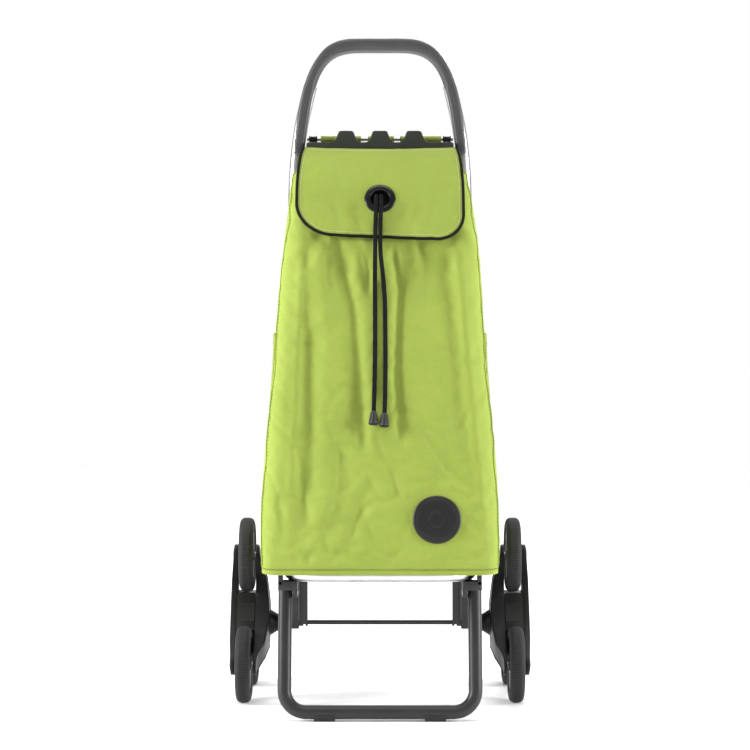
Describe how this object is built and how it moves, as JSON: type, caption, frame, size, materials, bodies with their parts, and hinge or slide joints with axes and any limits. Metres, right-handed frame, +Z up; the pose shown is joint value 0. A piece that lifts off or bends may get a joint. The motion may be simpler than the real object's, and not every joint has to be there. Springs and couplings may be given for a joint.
{
  "type": "stair-climbing shopping trolley",
  "caption": "Two-sided star-wheel shopping trolley: aluminium frame with an arched grip, folding front foot, six small wheels on two turning stars, and a drawstring fabric bag with a flap.",
  "frame": {"origin": "on the floor, at the centre of the trolley's box", "axes": "+X to the user's right, +Y towards the handle side, +Z up"},
  "size_m": [0.4932, 0.445, 1.0736],
  "materials": {
    "aluminium_tube": "polished drawn tube",
    "steel": "zinc plated",
    "dark_paint": "satin charcoal lacquer",
    "dark_plastic": "fine-grained charcoal moulding",
    "rim_plastic": "satin grey moulding",
    "tyre_rubber": "ribbed tread",
    "pad_rubber": "matt",
    "lime_fabric": "coated polyester weave",
    "black_gloss": "gloss",
    "black_cord": "braided cord"
  },
  "bodies": {
    "frame": {"frame_upright_l": "aluminium_tube", "frame_upright_r": "aluminium_tube", "shelf_tube": "aluminium_tube", "shelf_cross_bar": "steel", "back_brace": "steel", "axle_plate_l": "steel", "axle_plate_r": "steel", "main_axle": "steel", "hanger_rod": "steel", "foot_pivot_l": "steel", "foot_pivot_r": "steel", "axle_bracket_l": "dark_plastic", "axle_bracket_r": "dark_plastic", "handle_grip": "dark_plastic", "hook_bar": "dark_plastic", "hanger_clip_l": "dark_plastic", "hanger_clip_r": "dark_plastic", "foot_knuckle_l": "dark_plastic", "foot_knuckle_r": "dark_plastic", "bag_base": "dark_plastic", "badge": "black_gloss", "bag_front": "lime_fabric", "bag_back": "lime_fabric", "bag_side_l": "lime_fabric", "bag_side_r": "lime_fabric", "side_pocket_l": "lime_fabric", "side_pocket_r": "lime_fabric"},
    "foot": {"foot_tube": "dark_paint", "foot_pad_l": "pad_rubber", "foot_pad_r": "pad_rubber"},
    "flap": {"flap": "lime_fabric", "eyelet": "black_gloss"},
    "cords": {"cord_l": "black_cord", "cord_r": "black_cord", "cord_end_l": "dark_plastic", "cord_end_r": "dark_plastic"},
    "star_left": {"star_outer_shell_l": "dark_plastic", "star_inner_shell_l": "dark_plastic", "axle_cap_l": "black_gloss", "wheel_pin_top_l": "steel", "wheel_pin_front_l": "steel", "wheel_pin_rear_l": "steel"},
    "wheel_top_left": {"wheel_tyre_top_l": "tyre_rubber", "wheel_rim_top_l": "rim_plastic"},
    "wheel_front_left": {"wheel_tyre_front_l": "tyre_rubber", "wheel_rim_front_l": "rim_plastic"},
    "wheel_rear_left": {"wheel_tyre_rear_l": "tyre_rubber", "wheel_rim_rear_l": "rim_plastic"},
    "star_right": {"star_outer_shell_r": "dark_plastic", "star_inner_shell_r": "dark_plastic", "axle_cap_r": "black_gloss", "wheel_pin_top_r": "steel", "wheel_pin_front_r": "steel", "wheel_pin_rear_r": "steel"},
    "wheel_top_right": {"wheel_tyre_top_r": "tyre_rubber", "wheel_rim_top_r": "rim_plastic"},
    "wheel_front_right": {"wheel_tyre_front_r": "tyre_rubber", "wheel_rim_front_r": "rim_plastic"},
    "wheel_rear_right": {"wheel_tyre_rear_r": "tyre_rubber", "wheel_rim_rear_r": "rim_plastic"}
  },
  "joints": [
    {"name": "foot_fold", "type": "hinge", "parent": "frame", "child": "foot", "pos_m": [0, -0.168, 0.193], "axis": [1, 0, 0], "range_deg": [0, 75]},
    {"name": "flap_lift", "type": "hinge", "parent": "frame", "child": "flap", "pos_m": [0, -0.0035, 0.8935], "axis": [-1, 0, 0], "range_deg": [0, 110], "deforming": ["cord_l", "cord_r"]},
    {"name": "cord_swing", "type": "hinge", "parent": "flap", "child": "cords", "pos_m": [0, -0.10435, 0.7457], "axis": [1, 0, 0], "range_deg": [0, 121]},
    {"name": "star_left_turn", "type": "hinge", "parent": "frame", "child": "star_left", "pos_m": [-0.2, 0.0645, 0.117], "axis": [1, 0, 0], "continuous": true},
    {"name": "wheel_top_left_spin", "type": "hinge", "parent": "star_left", "child": "wheel_top_left", "pos_m": [-0.21875, 0.0645, 0.229], "axis": [1, 0, 0], "continuous": true},
    {"name": "wheel_front_left_spin", "type": "hinge", "parent": "star_left", "child": "wheel_front_left", "pos_m": [-0.21875, -0.0325, 0.061], "axis": [1, 0, 0], "continuous": true},
    {"name": "wheel_rear_left_spin", "type": "hinge", "parent": "star_left", "child": "wheel_rear_left", "pos_m": [-0.21875, 0.16149, 0.061], "axis": [1, 0, 0], "continuous": true},
    {"name": "star_right_turn", "type": "hinge", "parent": "frame", "child": "star_right", "pos_m": [0.2, 0.0645, 0.117], "axis": [1, 0, 0], "continuous": true},
    {"name": "wheel_top_right_spin", "type": "hinge", "parent": "star_right", "child": "wheel_top_right", "pos_m": [0.21875, 0.0645, 0.229], "axis": [1, 0, 0], "continuous": true},
    {"name": "wheel_front_right_spin", "type": "hinge", "parent": "star_right", "child": "wheel_front_right", "pos_m": [0.21875, -0.0325, 0.061], "axis": [1, 0, 0], "continuous": true},
    {"name": "wheel_rear_right_spin", "type": "hinge", "parent": "star_right", "child": "wheel_rear_right", "pos_m": [0.21875, 0.16149, 0.061], "axis": [1, 0, 0], "continuous": true}
  ],
  "couplings": [
    {"joint": "cord_swing", "follows": "flap_lift", "ratio": 1.1}
  ]
}
